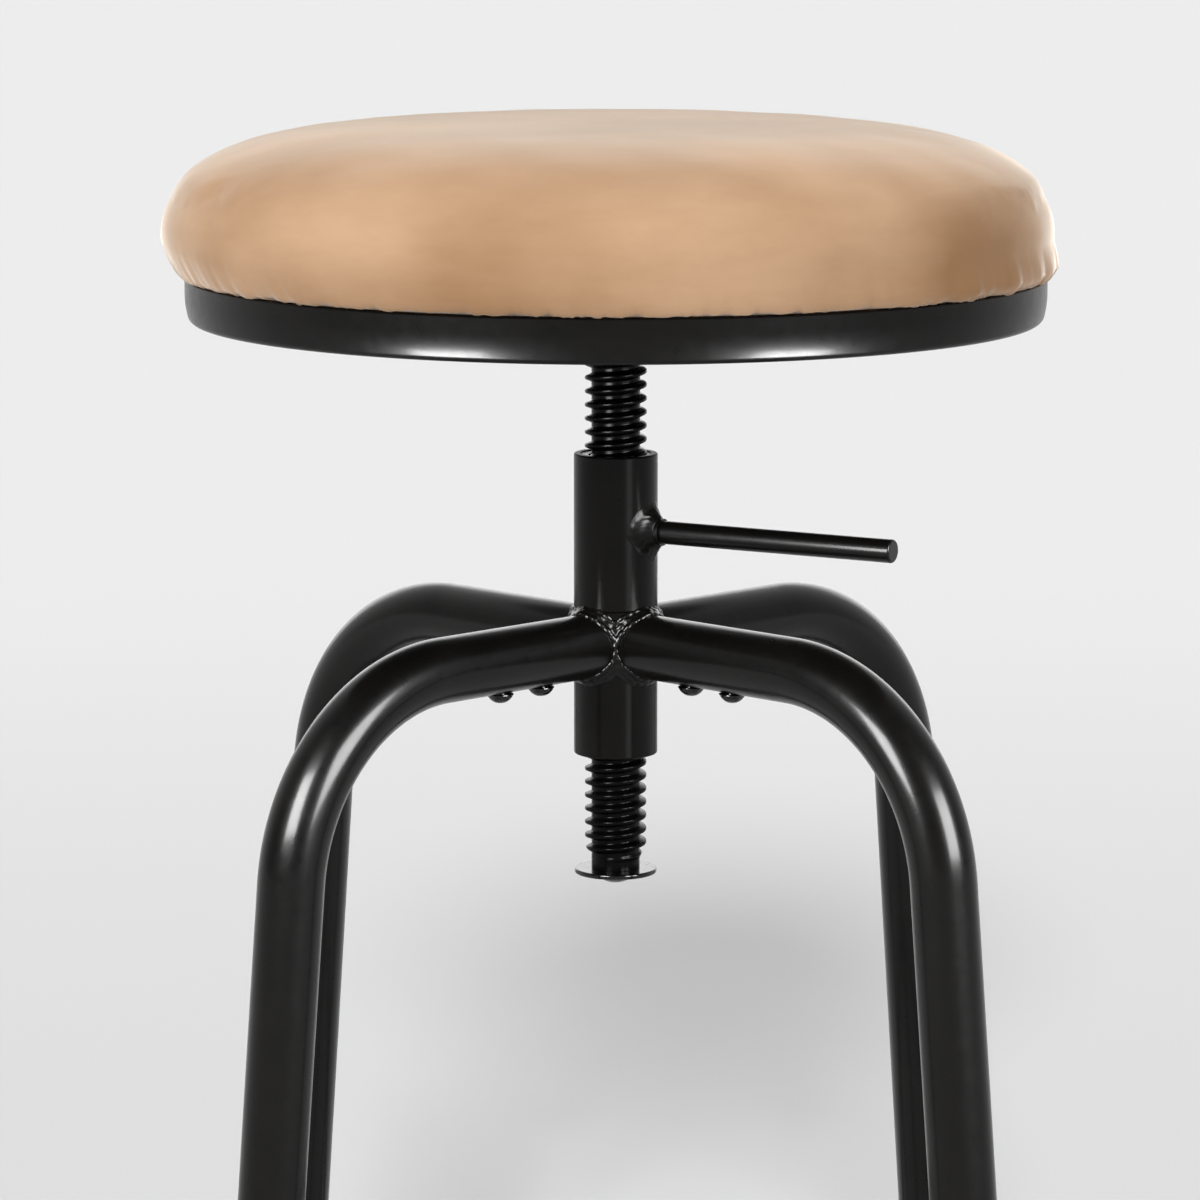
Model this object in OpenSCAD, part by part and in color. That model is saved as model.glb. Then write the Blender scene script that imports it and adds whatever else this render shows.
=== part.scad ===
// Screw-height bar stool: a round padded seat on a threaded spindle, a welded
// hub with four bent tube legs, a lock lever and a bolted foot ring.
// The feet stand on z = 0 and the spindle runs up the z axis. Millimetres.

/* [Seat pan and board] */
// Outside diameter of the pressed steel pan under the cushion
pan_od = 344; // [320:1:370]
// Thickness of the pan's sheet
pan_sheet = 1.5; // [1:0.1:2.5]
// Outside radius of the pan's pressed lower edge
pan_corner = 3; // [2.5:0.5:8]
// Height of the pan's rim above the top of the board
pan_lip = 2.6; // [1:0.2:6]
// Thickness of the plywood seat board
board_t = 12; // [9:1:18]
// Space between the board's edge and the pan's wall
board_margin = 7; // [4:0.5:10]

/* [Cushion] */
// Thickness of the cover with its backing
cover_t = 1.2; // [0.8:0.1:2]
// Width of the cover's hem stapled under the board
hem_w = 24; // [15:1:40]
// How far the cushion swells past the pan's wall
swell = 6.5; // [4:0.5:12]
// Height of the cushion's widest line above its underside
waist_rise = 18; // [12:1:26]
// Height of the crown above the widest line
crown_rise = 42; // [30:1:60]
// Fullness of the crown, higher is flatter with rounder shoulders
crown_fullness = 5.1; // [3:0.1:7]
// Number of staples holding the hem
staple_count = 24; // [12:2:36]
// Width of a staple's crown
staple_w = 10; // [6:1:12]
// Length of a staple's legs
staple_leg = 7; // [5:0.5:8]
// Thickness of the staple wire
staple_wire = 0.9; // [0.6:0.1:1.2]

/* [Spindle] */
// Thread diameter over the crests
screw_od = 25; // [22:0.5:26]
// Thread diameter at the root
screw_root = 19.6; // [17:0.2:20.6]
// Rise of the thread in one turn
screw_pitch = 5.5; // [5:0.5:7]
// Width of the thread's flat crest, along the axis
crest_flat = 1.5; // [1:0.1:1.8]
// Width of one sloping flank, along the axis
flank_w = 1.3; // [1:0.1:1.4]
// Length of thread between the hub's top and the seat's plate
seat_gap = 50.5; // [49:0.5:80]
// Length of thread below the hub
screw_tail = 47.5; // [47:0.5:80]
// Diameter of the mounting plate welded on the spindle
plate_od = 112; // [100:1:140]
// Thickness of the mounting plate
plate_t = 4; // [3:0.5:6]
// Leg length of the weld under the plate
plate_weld_leg = 4.2; // [3:0.1:4.2]
// Circle on which the plate's bolts stand
plate_pcd = 84; // [70:1:90]
// Diameter of the stop washer under the spindle
washer_od = 33.4; // [30:0.1:40]
// Thickness of the stop washer
washer_t = 2; // [1.5:0.5:4]

/* [Hub] */
// Outside diameter of the hub tube
hub_od = 33.8; // [33:0.1:36]
// Wall of the hub tube
hub_wall = 2.6; // [2:0.1:3]
// Height of the hub's top above the leg tubes' axis
hub_above = 77; // [70:1:110]
// Depth of the hub's foot below the leg tubes' axis
hub_below = 45.5; // [30:0.5:80]
// Height of the joint between the two hub tubes above the leg tubes' axis
hub_joint_rise = 14.6; // [13:0.1:20]
// Length of the threaded drive nut in the hub's top
nut_len = 24; // [18:1:24]
// Length of the plain guide bush in the hub's foot
bush_len = 20; // [12:1:26]
// Chamfer on the hub tube's ends
hub_chamfer = 0.7; // [0.3:0.1:1]

/* [Lock lever] */
// Direction in which the lever points, from the right towards the front
lever_turned = 30; // [0:1:44]
// Height of the lever above the leg tubes' axis
lever_rise = 46.2; // [42:0.2:47]
// Diameter of the lever's rod
lever_od = 9.4; // [9:0.1:12]
// Distance from the spindle's axis to the lever's tip
lever_reach = 125; // [90:1:150]
// Diameter of the lever's threaded end
lever_thread = 8; // [6:0.5:8]
// Length of the threaded boss outside the hub
boss_len = 5; // [4.5:0.5:12]
// Diameter of the threaded boss
boss_od = 11; // [10.5:0.5:14]
// Length of the boss that its weld climbs
boss_weld_leg = 4.5; // [2:0.5:4.5]
// How far the boss's weld spreads over the hub
boss_weld_spread = 8; // [4:0.5:9]
// Gap between the lock pad and the thread when the lever is slack
pad_gap = 0.4; // [0.4:0.05:0.8]

/* [Legs] */
// Outside diameter of the leg tubes
leg_od = 26; // [22:0.5:28]
// Wall of the leg tubes
leg_wall = 2; // [1.5:0.1:2.5]
// Height of the leg tubes' axis at the hub
leg_axis_h = 470; // [420:5:620]
// Gap between a leg tube's inner end and the weld of its stub
leg_gap = 0.5; // [0.2:0.1:5]
// Distance from the spindle's axis to the start of the bend
leg_straight = 96; // [90:1:110]
// Bend radius on the tube's axis
bend_r = 81; // [65:1:100]
// Outward lean of the lower leg
splay = 5.4; // [0:0.1:8]
// Wall of the stub pipes that the legs slide on
stub_wall = 3; // [2:0.1:4]
// Distance from the spindle's axis to a stub's outer end
stub_reach = 82; // [78:1:90]
// Leg length of the welds round the stubs
stub_weld_leg = 3.6; // [2:0.1:3.6]
// Distance from the spindle's axis to the inner leg screw
screw_in = 42.5; // [36:0.5:48]
// Distance between the two screws of a leg
screw_step = 22.5; // [16:0.5:26]

/* [Foot ring and feet] */
// Outside diameter of the foot ring's tube
ring_tube = 16; // [14:0.5:22]
// Wall of the foot ring's tube
ring_wall = 1.5; // [1.2:0.1:2.5]
// Height of the foot ring's axis above the floor
ring_h = 170; // [120:5:260]
// Wall of the rubber feet round the tube
foot_wall = 2.6; // [2:0.1:5]
// Thickness of rubber under the tube
foot_sole = 6; // [4:0.5:12]
// Height of the rubber feet
foot_h = 26; // [18:1:40]

/* [Fasteners] */
// Nominal diameter of the screws in the legs, the ring and the plate
bolt_d = 6; // [5:0.5:6]
// Diameter of their domed heads
head_d = 10.8; // [10:0.2:12]
// Height of their domed heads
head_h = 4; // [3:0.1:5]
// Width of the hexagon socket in the heads
socket_w = 4; // [3:0.5:4]
// Nominal diameter of the stop bolt
stop_bolt_d = 8; // [6:0.5:10]
// Diameter of the stop bolt's head
stop_head_d = 18; // [13:0.5:22]
// Height of the stop bolt's head
stop_head_h = 4.2; // [3:0.1:7]

/* [Hidden] */

// Finishes
black_paint = [0.12, 0.11, 0.10];
black_steel = [0.09, 0.085, 0.08];
tan_suede = [0.80, 0.66, 0.51];
foam_yellow = [0.93, 0.88, 0.66];
plywood = [0.78, 0.62, 0.42];
zinc = [0.72, 0.72, 0.70];
black_rubber = [0.06, 0.06, 0.06];
nylon = [0.88, 0.86, 0.80];
brass = [0.72, 0.58, 0.30];

// Clearances
fit = 0.1;          // between parts that are pushed together
hole_clear = 0.2;   // on the radius, between a screw and a clearance hole
thread_clear = 0.05; // on the radius, between a small screw and its threaded hole
run_clear = 0.35;   // on the radius, between the spindle and what it runs in
cut = 1;            // how far a cutter passes through a face
stub_clear = 0.2;   // on the radius, between a stub pipe and the leg on it
ring_clear = 0.05;  // between the foot ring and a leg
head_clear = 0.02;  // between a leg screw's head and the leg
cushion_clear = 0.3; // between the cushion's underside and the pan's rim

// Angles of the four legs, starting at the front right
leg_angles = [-45, 45, 135, 225];
$fn = 64;

// Hub heights
hub_r = hub_od / 2;
hub_ir = hub_r - hub_wall;
hub_top = leg_axis_h + hub_above;
hub_foot = leg_axis_h - hub_below;
hub_joint = leg_axis_h + hub_joint_rise;
lever_z = leg_axis_h + lever_rise;
nut_inset = 0.5;    // depth of the drive nut below the hub's top
bush_inset = 0.8;   // depth of the guide bush inside the hub's foot

// Spindle and seat heights
plate_z = hub_top + seat_gap;
pan_z = plate_z + plate_t;
screw_end = hub_foot - screw_tail;
crest_z = hub_top + 0.25; // a crest passes this height on the right-hand side

// Seat
pan_r = pan_od / 2;
pan_ir = pan_r - pan_sheet;
board_r = pan_ir - board_margin;
hem_z = pan_z + pan_sheet + fit;
board_z = hem_z + cover_t + fit;
board_top = board_z + board_t;
rim_z = board_top + pan_lip;
under_z = rim_z + cushion_clear;
waist_z = under_z + waist_rise;
crown_z = waist_z + crown_rise;

// Legs
leg_r = leg_od / 2;
leg_ir = leg_r - leg_wall;
leg_start = hub_r + stub_weld_leg + leg_gap;
stub_r = leg_ir - stub_clear;
bend_end_r = leg_straight + bend_r * cos(splay);
bend_end_z = leg_axis_h - bend_r + bend_r * sin(splay);
function leg_axis_r(z) = bend_end_r + (bend_end_z - z) * tan(splay);
foot_r = leg_axis_r(0);
lower_leg_len = (bend_end_z - foot_sole) / cos(splay);
bend_draw = 0.1; // how much bending draws the tube's radius in
bend_lap = 1;    // how far the straight lengths run on into the bend

// Foot ring, held against the legs' inner faces
ring_r = ring_tube / 2;
ring_mid_r = leg_axis_r(ring_h) - (leg_r + ring_r + ring_clear) / cos(splay);

// Lever, measured outwards from the spindle's axis
pad_face = screw_od / 2 + pad_gap;
pad_sink = 0.6;     // how far the pad's back lies inside the hub's wall
pad_back = hub_r - pad_sink;
lever_tip = pad_back + hole_clear;
boss_reach = hub_r + boss_len;
shoulder_gap = 0.6; // between the boss and the lever's shoulder when it is slack
lever_shoulder = boss_reach + shoulder_gap;
pivot_r = 1.5;
pivot_len = 1.3;

// Small fasteners
staple_clear = 0.05; // how far the staples' crowns stand below the hem
bolt_r = bolt_d / 2;
head_r = head_d / 2;
stop_r = stop_bolt_d / 2;
stop_bolt_len = 18; // length of the stop bolt inside the spindle
stop_hole_past = 4; // depth of the spindle's hole beyond the bolt
socket_depth = 2.4;
leg_screw_past = 3; // how far a leg screw passes through its stub
ring_bolt_past = 5; // how far a ring bolt passes into its cap nut
leg_screw_len = leg_wall + stub_clear + stub_wall + leg_screw_past;
ring_bolt_len = leg_od + ring_tube + ring_clear + ring_bolt_past;
nut_h = 5;
nut_flats = 10;
tee_flange_r = 9;
tee_flange_t = 1.2;
tee_barrel_r = 4;
tee_barrel_len = 8;

// A screw with a domed head: its head's face lies on z = 0 and its shank points up
module domed_screw(shank_r, shank_len, dome_r, dome_h, socket) {
    ball_r = (dome_r * dome_r + dome_h * dome_h) / (2 * dome_h);
    difference() {
        union() {
            cylinder(r = shank_r, h = shank_len);
            rotate_extrude() intersection() {
                translate([0, ball_r - dome_h]) circle(r = ball_r, $fn = 96);
                translate([0, -dome_h]) square([dome_r, dome_h]);
            }
        }
        translate([0, 0, -dome_h - cut])
            cylinder(r = socket / 2 / cos(30), h = socket_depth + cut, $fn = 6);
    }
}

// Puts its children on each leg in turn, with x along the leg
module on_each_leg() {
    for (a = leg_angles) rotate([0, 0, a]) children();
}

// The path of a leg filled with a bar of radius r, from its inner end to its foot
module leg_path(r, start, foot_extra) {
    translate([start, 0, leg_axis_h]) rotate([0, 90, 0]) cylinder(r = r, h = leg_straight - start + bend_lap);
    translate([leg_straight, 0, leg_axis_h - bend_r]) rotate([90, 0, 0]) rotate([0, 0, 90]) mirror([0, 1, 0])
        rotate_extrude(angle = 90 - splay) translate([bend_r, 0]) circle(r = r - bend_draw);
    translate([bend_end_r, 0, bend_end_z]) rotate([0, 180 - splay, 0]) translate([0, 0, -bend_lap])
        cylinder(r = r, h = lower_leg_len + foot_extra + bend_lap);
}

// Frame for the ring's bolt at one leg: z points outwards through the leg
module at_ring_bolt() {
    translate([ring_mid_r, 0, ring_h]) rotate([0, 90 - splay, 0]) children();
}

// Bent leg tube, pierced for its two screws and the foot ring's bolt
module leg(i) {
    color(black_paint) rotate([0, 0, leg_angles[i]]) difference() {
        leg_path(leg_r, leg_start, 0);
        leg_path(leg_ir, leg_start - cut, cut);
        for (x = [screw_in, screw_in + screw_step])
            translate([x, 0, leg_axis_h - leg_r - cut]) cylinder(r = bolt_r + hole_clear, h = leg_r);
        at_ring_bolt() cylinder(r = bolt_r + hole_clear, h = ring_r + leg_od + cut);
    }
}

// Stub pipe saddled on the hub, tapped from below for the leg's screws
module leg_stub(i) {
    color(black_paint) rotate([0, 0, leg_angles[i]]) difference() {
        translate([hub_ir, 0, leg_axis_h]) rotate([0, 90, 0]) cylinder(r = stub_r, h = stub_reach - hub_ir);
        translate([hub_ir - cut, 0, leg_axis_h]) rotate([0, 90, 0])
            cylinder(r = stub_r - stub_wall, h = stub_reach - hub_ir + 2 * cut);
        translate([0, 0, leg_axis_h - leg_od]) cylinder(r = hub_r, h = 2 * leg_od);
        for (x = [screw_in, screw_in + screw_step])
            translate([x, 0, leg_axis_h - leg_r]) cylinder(r = bolt_r + thread_clear, h = leg_r);
    }
}

// Fillet welds where the stubs meet the hub and run together between them
module stub_welds() {
    reach = hub_r + stub_weld_leg;
    root = hub_r / sqrt(2);
    color(black_paint) on_each_leg() translate([0, 0, leg_axis_h]) difference() {
        translate([root, 0, 0]) rotate([0, 90, 0])
            cylinder(r1 = stub_r + reach - root, r2 = stub_r, h = reach - root);
        rotate([0, 90, 0]) cylinder(r = stub_r, h = reach + cut);
        translate([0, 0, -leg_od]) cylinder(r = hub_r, h = 2 * leg_od);
        for (side = [-1, 1]) rotate([0, 0, side * 45]) translate([-cut, side > 0 ? 0 : -leg_od, -leg_od])
            cube([2 * leg_od, leg_od, 2 * leg_od]);
    }
}

module leg_screws() {
    color(black_steel) on_each_leg() for (x = [screw_in, screw_in + screw_step])
        translate([x, 0, leg_axis_h - leg_r - head_clear])
            domed_screw(bolt_r, leg_screw_len, head_r, head_h, socket_w);
}

// Rubber ferrule on the end of a leg, cut flat where it stands on the floor
module foot(i) {
    sole_r = leg_r + foot_wall;
    color(black_rubber) rotate([0, 0, leg_angles[i]]) difference() {
        translate([foot_r, 0, 0]) rotate([0, -splay, 0]) translate([0, 0, -foot_sole])
            cylinder(r = sole_r, h = foot_h + foot_sole);
        translate([bend_end_r, 0, bend_end_z]) rotate([0, 180 - splay, 0])
            cylinder(r = leg_r + thread_clear, h = lower_leg_len + thread_clear);
        translate([foot_r - 2 * leg_od, -leg_od, -leg_od]) cube([4 * leg_od, 2 * leg_od, leg_od]);
    }
}

// Round foot rest of bent tube, drilled for its four bolts
module foot_ring() {
    color(black_paint) difference() {
        translate([0, 0, ring_h]) rotate_extrude($fn = 128) translate([ring_mid_r, 0]) difference() {
            circle(r = ring_r);
            circle(r = ring_r - ring_wall);
        }
        on_each_leg() at_ring_bolt() translate([0, 0, -ring_r - cut])
            cylinder(r = bolt_r + hole_clear, h = ring_tube + 2 * cut);
    }
}

module ring_bolts() {
    head_at = ring_r + leg_od + ring_clear;
    color(black_steel) on_each_leg() at_ring_bolt() translate([0, 0, head_at]) rotate([180, 0, 0])
        domed_screw(bolt_r, ring_bolt_len, head_r, head_h, socket_w);
}

// Domed cap nuts on the ring's inner side
module ring_nuts() {
    color(black_steel) on_each_leg() at_ring_bolt() translate([0, 0, -ring_r - fit]) difference() {
        union() {
            translate([0, 0, -nut_h]) cylinder(r = nut_flats / 2 / cos(30), h = nut_h, $fn = 6);
            translate([0, 0, -nut_h]) sphere(r = nut_flats / 2 - 0.4);
        }
        translate([0, 0, ring_tube + leg_od - ring_bolt_len - cut])
            cylinder(r = bolt_r + thread_clear, h = ring_bolt_len);
    }
}

// A solid bar with a right-handed helical ridge, cut flat at z0 and z1. Four
// points make the ridge's outline in each pitch: root, crest, crest, root.
module threaded_bar(z0, z1, root_r, crest_r, crest_w, steps) {
    across = [-crest_w / 2 - flank_w, -crest_w / 2, crest_w / 2, crest_w / 2 + flank_w];
    radii = [root_r, crest_r, crest_r, root_r];
    first = floor((z0 - crest_z) / screw_pitch) - 2;
    turns = ceil((z1 - z0) / screw_pitch) + 4;
    last = turns * steps;
    points = concat(
        [for (s = [0:last]) for (j = [0:3])
            [radii[j] * cos(360 * s / steps), radii[j] * sin(360 * s / steps),
                crest_z + screw_pitch * (first + s / steps) + across[j]]],
        [[0, 0, crest_z + screw_pitch * first + across[0]],
            [0, 0, crest_z + screw_pitch * (first + turns) + across[3]]]);
    foot = 4 * (last + 1);
    tip = foot + 1;
    ridge = [for (s = [0:last - 1]) for (j = [0:2]) let (a = 4 * s + j)
        each [[a, a + 1, a + 5], [a, a + 5, a + 4]]];
    groove = [for (s = [0:last - steps - 1]) let (a = 4 * s + 3, b = 4 * (s + steps))
        each [[a, b, b + 4], [a, b + 4, a + 4]]];
    end_a = 4 * last;
    foot_cap = concat(
        [for (s = [0:steps - 1]) [foot, 4 * s, 4 * s + 4]],
        [[foot, 4 * steps, 3], [foot, 3, 2], [foot, 2, 1], [foot, 1, 0]]);
    tip_cap = concat(
        [for (s = [last - steps:last - 1]) [tip, 4 * s + 7, 4 * s + 3]],
        [[tip, end_a, end_a + 1], [tip, end_a + 1, end_a + 2], [tip, end_a + 2, end_a + 3],
            [tip, end_a - 4 * steps + 3, end_a]]);
    intersection() {
        polyhedron(points = points, faces = concat(ridge, groove, foot_cap, tip_cap));
        translate([0, 0, z0]) cylinder(r = crest_r + cut, h = z1 - z0);
    }
}

module lead_screw() {
    color(black_steel) difference() {
        threaded_bar(screw_end, plate_z, screw_root / 2, screw_od / 2, crest_flat, 18);
        translate([0, 0, screw_end - cut])
            cylinder(r = stop_r + thread_clear, h = stop_bolt_len + stop_hole_past + cut);
    }
}

// Threaded sleeve fixed in the top of the hub
module drive_nut() {
    nut_z = hub_top - nut_inset - nut_len;
    color(black_steel) difference() {
        translate([0, 0, nut_z]) cylinder(r = hub_ir - thread_clear, h = nut_len);
        threaded_bar(nut_z - cut, hub_top + cut, screw_root / 2 + run_clear, screw_od / 2 + run_clear,
            crest_flat + 2 * run_clear, 24);
    }
}

// Plain bush that guides the thread's crests at the foot of the hub
module guide_bush() {
    color(nylon) translate([0, 0, hub_foot + bush_inset]) difference() {
        cylinder(r = hub_ir - thread_clear, h = bush_len);
        translate([0, 0, -cut]) cylinder(r = screw_od / 2 + run_clear, h = bush_len + 2 * cut);
    }
}

// A tube of the hub with both ends chamfered outside
module hub_tube(z0, z1) {
    rotate_extrude() polygon([[hub_ir, z0], [hub_r - hub_chamfer, z0], [hub_r, z0 + hub_chamfer],
        [hub_r, z1 - hub_chamfer], [hub_r - hub_chamfer, z1], [hub_ir, z1]]);
}

// Frame for the lever: z points outwards along the lever from the spindle's axis
module at_lever() {
    translate([0, 0, lever_z]) rotate([0, 0, -lever_turned]) rotate([0, 90, 0]) children();
}

module upper_hub() {
    color(black_paint) difference() {
        hub_tube(hub_joint, hub_top);
        at_lever() cylinder(r = lever_thread / 2 + fit, h = hub_od);
    }
}

module lower_hub() {
    color(black_paint) hub_tube(hub_foot, hub_joint);
}

module lever_boss() {
    color(black_paint) difference() {
        at_lever() cylinder(r = boss_od / 2, h = boss_reach);
        at_lever() cylinder(r = lever_thread / 2 + fit, h = boss_reach + cut);
        translate([0, 0, lever_z - boss_od]) cylinder(r = hub_r, h = 2 * boss_od);
    }
}

// Fillet weld round the boss, wide on the hub and tapering outwards
module boss_weld() {
    boss_r = boss_od / 2;
    base_r = boss_r + boss_weld_spread;
    color(black_paint) difference() {
        at_lever() rotate_extrude() polygon([[boss_r, hub_r / 4], [base_r, hub_r / 4],
            [base_r, hub_r - 1.2], [boss_r, hub_r + boss_weld_leg]]);
        translate([0, 0, lever_z - base_r - cut]) cylinder(r = hub_r, h = 2 * (base_r + cut));
    }
}

// Pad on the lever's tip that presses on the thread without turning
module lock_pad() {
    color(brass) at_lever() difference() {
        translate([0, 0, pad_face]) cylinder(r = lever_thread / 2 - fit, h = pad_back - pad_face);
        translate([0, 0, pad_back - pivot_len]) cylinder(r = pivot_r + fit, h = pivot_len + cut);
    }
}

// Straight rod with a reduced threaded end and a pivot for the pad
module lock_lever() {
    chamfer = 0.9;
    color(black_paint) at_lever() rotate_extrude() polygon([
        [0, lever_tip - pivot_len], [pivot_r, lever_tip - pivot_len], [pivot_r, lever_tip],
        [lever_thread / 2, lever_tip], [lever_thread / 2, lever_shoulder],
        [lever_od / 2, lever_shoulder], [lever_od / 2, lever_reach - chamfer],
        [lever_od / 2 - chamfer, lever_reach], [0, lever_reach]]);
}

// Loose washer that meets the hub's foot when the seat is fully raised
module stop_washer() {
    color(black_steel) translate([0, 0, screw_end - fit - washer_t]) difference() {
        cylinder(r = washer_od / 2, h = washer_t);
        translate([0, 0, -cut]) cylinder(r = stop_r + hole_clear, h = washer_t + 2 * cut);
    }
}

module stop_bolt() {
    color(black_steel) translate([0, 0, screw_end - 2 * fit - washer_t])
        domed_screw(stop_r, stop_bolt_len + washer_t, stop_head_d / 2, stop_head_h, socket_w + 1);
}

// Puts its children at the plate's four bolts
module on_each_plate_bolt() {
    for (a = [0, 90, 180, 270]) rotate([0, 0, a]) translate([plate_pcd / 2, 0, 0]) children();
}

module mount_plate() {
    color(black_paint) difference() {
        translate([0, 0, plate_z]) cylinder(r = plate_od / 2, h = plate_t);
        on_each_plate_bolt() translate([0, 0, plate_z - cut])
            cylinder(r = bolt_r + hole_clear, h = plate_t + 2 * cut);
    }
}

module plate_weld() {
    inner = screw_od / 2 + thread_clear;
    color(black_paint) rotate_extrude() polygon([[inner, plate_z - plate_weld_leg], [inner, plate_z],
        [inner + plate_weld_leg, plate_z]]);
}

module plate_bolts() {
    len = board_top - tee_flange_t - plate_z;
    color(black_steel) on_each_plate_bolt() translate([0, 0, plate_z])
        domed_screw(bolt_r, len, head_r, head_h, socket_w);
}

// Flanged nuts let into the top of the board
module tee_nuts() {
    color(zinc) on_each_plate_bolt() difference() {
        union() {
            translate([0, 0, board_top - tee_flange_t]) cylinder(r = tee_flange_r, h = tee_flange_t);
            translate([0, 0, board_top - tee_barrel_len]) cylinder(r = tee_barrel_r, h = tee_barrel_len);
        }
        translate([0, 0, board_top - tee_barrel_len - cut])
            cylinder(r = bolt_r + thread_clear, h = tee_barrel_len + 2 * cut);
    }
}

// Shallow pressed dish with a rounded lower edge
module seat_pan() {
    inner_corner = pan_corner - pan_sheet;
    color(black_paint) difference() {
        rotate_extrude($fn = 128) polygon(concat(
            [[0, pan_z]],
            [for (a = [-90:15:0]) [pan_r - pan_corner + pan_corner * cos(a),
                pan_z + pan_corner + pan_corner * sin(a)]],
            [[pan_r, rim_z], [pan_ir, rim_z]],
            [for (a = [0:-15:-90]) [pan_r - pan_corner + inner_corner * cos(a),
                pan_z + pan_corner + inner_corner * sin(a)]],
            [[0, pan_z + pan_sheet]]));
        on_each_plate_bolt() translate([0, 0, pan_z - cut])
            cylinder(r = bolt_r + hole_clear, h = pan_sheet + 2 * cut);
    }
}

module seat_board() {
    color(plywood) difference() {
        translate([0, 0, board_z]) cylinder(r = board_r, h = board_t, $fn = 128);
        on_each_plate_bolt() {
            translate([0, 0, board_z - cut]) cylinder(r = tee_barrel_r + thread_clear, h = board_t + 2 * cut);
            translate([0, 0, board_top - tee_flange_t])
                cylinder(r = tee_flange_r + thread_clear, h = tee_flange_t + cut);
        }
    }
}

// Outline of the cushion from its underside to its crown, drawn in by inset
function cushion_side(inset) = concat(
    [for (a = [-90:18:-18]) [pan_r - inset + swell * cos(a), waist_z + (waist_rise - inset) * sin(a)]],
    [for (a = [0, 10, 20, 30, 40, 50, 60, 68, 75, 81, 86])
        [(pan_r + swell - inset) * pow(cos(a), 2 / crown_fullness), waist_z + (crown_rise - inset) * sin(a)]],
    [[0, crown_z - inset]]);

module seat_foam() {
    inset = cover_t + fit;
    color(foam_yellow) rotate_extrude($fn = 96) polygon(concat(
        [[0, board_top + fit], [board_r - fit, board_top + fit], [board_r - fit, under_z + inset]],
        cushion_side(inset)));
}

// Stretched cover, pulled round the board's edge and hemmed under it
module seat_cover() {
    inner = cushion_side(cover_t);
    outer = cushion_side(0);
    color(tan_suede) rotate_extrude($fn = 96) polygon(concat(
        [[board_r - hem_w, hem_z], [board_r + fit + cover_t, hem_z], [board_r + fit + cover_t, under_z]],
        outer,
        [for (k = [len(inner) - 1:-1:0]) inner[k]],
        [[board_r + fit, under_z + cover_t], [board_r + fit, hem_z + cover_t],
            [board_r - hem_w, hem_z + cover_t]]));
}

// Staples through the hem into the board, with their crowns just under the hem
module cover_staples() {
    color(zinc) for (k = [0:staple_count - 1]) rotate([0, 0, 360 * (k + 0.5) / staple_count])
        translate([board_r - hem_w / 2, 0, hem_z - staple_clear]) {
            translate([-staple_wire / 2, -staple_w / 2, 0]) cube([staple_wire, staple_w, staple_wire]);
            for (side = [-staple_w / 2, staple_w / 2 - staple_wire])
                translate([-staple_wire / 2, side, 0]) cube([staple_wire, staple_wire, staple_leg]);
        }
}

upper_hub();
lower_hub();
drive_nut();
guide_bush();
stub_welds();
leg_stub(0);  // leg_stub_front_right
leg_stub(1);  // leg_stub_back_right
leg_stub(2);  // leg_stub_back_left
leg_stub(3);  // leg_stub_front_left
leg(0);  // leg_front_right
leg(1);  // leg_back_right
leg(2);  // leg_back_left
leg(3);  // leg_front_left
leg_screws();
foot(0);  // foot_front_right
foot(1);  // foot_back_right
foot(2);  // foot_back_left
foot(3);  // foot_front_left
foot_ring();
ring_bolts();
ring_nuts();
lever_boss();
boss_weld();
lock_pad();
lock_lever();
lead_screw();
stop_washer();
stop_bolt();
mount_plate();
plate_weld();
plate_bolts();
tee_nuts();
seat_pan();
seat_board();
seat_foam();
seat_cover();
cover_staples();
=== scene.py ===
import math

import bmesh
import bpy
from mathutils import Matrix, Vector, noise
from mathutils.bvhtree import BVHTree


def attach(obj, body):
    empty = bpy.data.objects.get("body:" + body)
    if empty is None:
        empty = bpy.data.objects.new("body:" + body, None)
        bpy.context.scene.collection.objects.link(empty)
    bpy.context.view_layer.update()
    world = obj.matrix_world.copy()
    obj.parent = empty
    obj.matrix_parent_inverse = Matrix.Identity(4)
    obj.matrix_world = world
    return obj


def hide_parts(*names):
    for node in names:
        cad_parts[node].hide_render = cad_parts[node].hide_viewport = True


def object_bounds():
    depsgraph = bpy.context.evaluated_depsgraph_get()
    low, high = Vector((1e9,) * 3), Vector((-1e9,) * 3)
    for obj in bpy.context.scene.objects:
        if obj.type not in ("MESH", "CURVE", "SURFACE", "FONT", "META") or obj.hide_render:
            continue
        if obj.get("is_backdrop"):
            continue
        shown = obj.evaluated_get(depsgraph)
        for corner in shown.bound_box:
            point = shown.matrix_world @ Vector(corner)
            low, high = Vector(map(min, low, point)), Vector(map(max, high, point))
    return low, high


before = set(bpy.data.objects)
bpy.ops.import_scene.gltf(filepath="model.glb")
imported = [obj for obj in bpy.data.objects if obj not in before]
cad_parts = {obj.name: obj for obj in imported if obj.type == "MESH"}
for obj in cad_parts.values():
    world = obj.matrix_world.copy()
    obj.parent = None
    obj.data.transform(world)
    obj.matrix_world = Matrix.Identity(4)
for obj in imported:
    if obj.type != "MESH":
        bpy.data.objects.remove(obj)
cad_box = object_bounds()

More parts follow.
